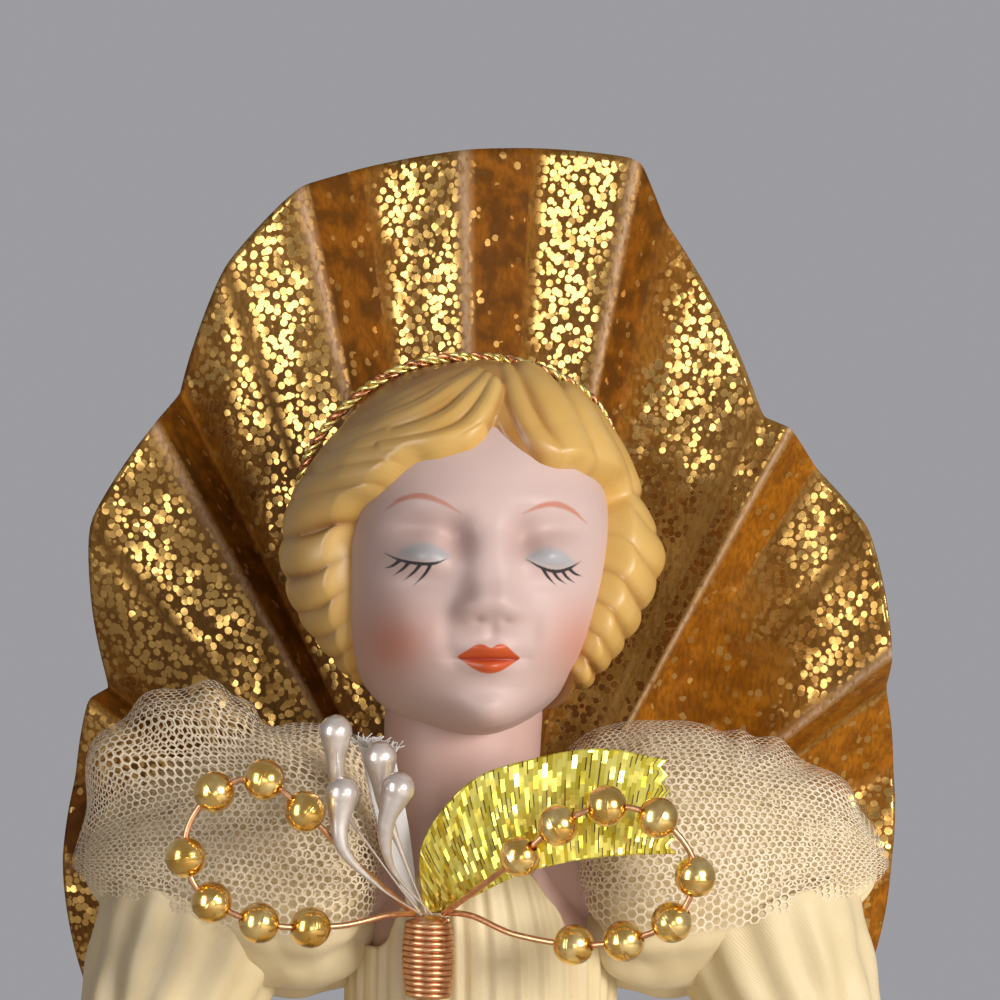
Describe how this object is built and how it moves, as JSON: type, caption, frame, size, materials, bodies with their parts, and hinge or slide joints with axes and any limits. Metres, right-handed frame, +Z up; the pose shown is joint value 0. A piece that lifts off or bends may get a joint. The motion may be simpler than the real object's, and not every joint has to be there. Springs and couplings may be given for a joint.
{
  "type": "angel ornament",
  "caption": "Standing angel ornament with a bisque head and hands, cloth dress over a card cone, pleated fan wings and wire arms that turn at the shoulder.",
  "frame": {"origin": "middle of the base, on the surface the figure stands on", "axes": "+Z up, -Y the way the figure faces, +X towards the figure's own left"},
  "size_m": [0.12, 0.12, 0.2273],
  "materials": {
    "card": "plain",
    "bisque": "satin, painted",
    "braid": "metallic thread",
    "satin": "satin weave",
    "net": "open net",
    "lame": "glitter foil",
    "lurex": "metallic weave",
    "copper": "drawn",
    "gold": "metallised",
    "steel": "drawn",
    "pearl": "pearlescent"
  },
  "bodies": {
    "figure": {"card_cone": "card", "porcelain_head": "bisque", "head_braid": "braid", "bodice": "satin", "satin_skirt": "satin", "net_overskirt": "net", "waist_sash": "lurex", "wing_fan": "lame", "wing_tie": "braid", "spray_binding": "copper", "right_bead_wire": "copper", "right_bead_1": "gold", "right_bead_2": "gold", "right_bead_3": "gold", "right_bead_4": "gold", "right_bead_5": "gold", "right_bead_6": "gold", "right_bead_7": "gold", "left_bead_wire": "copper", "left_bead_1": "gold", "left_bead_2": "gold", "left_bead_3": "gold", "left_bead_4": "gold", "left_bead_5": "gold", "left_bead_6": "gold", "left_bead_7": "gold", "left_bead_8": "gold", "pearl_stamen_1": "pearl", "pearl_stamen_2": "pearl", "pearl_stamen_3": "pearl", "pearl_stamen_4": "pearl", "gold_ribbon": "lurex", "white_ribbon_tab": "satin"},
    "left_arm": {"left_sleeve": "satin", "left_puff_net": "net", "left_arm_wire": "steel", "left_forearm": "bisque", "left_wrist_cord": "braid"},
    "right_arm": {"right_sleeve": "satin", "right_puff_net": "net", "right_arm_wire": "steel", "right_forearm": "bisque", "right_wrist_cord": "braid"}
  },
  "joints": [
    {"name": "left_shoulder", "type": "hinge", "parent": "figure", "child": "left_arm", "pos_m": [0.018, 0, 0.155], "axis": [-1, 0, 0], "range_deg": [-10, 45]},
    {"name": "right_shoulder", "type": "hinge", "parent": "figure", "child": "right_arm", "pos_m": [-0.018, 0, 0.155], "axis": [-1, 0, 0], "range_deg": [-10, 45]}
  ]
}
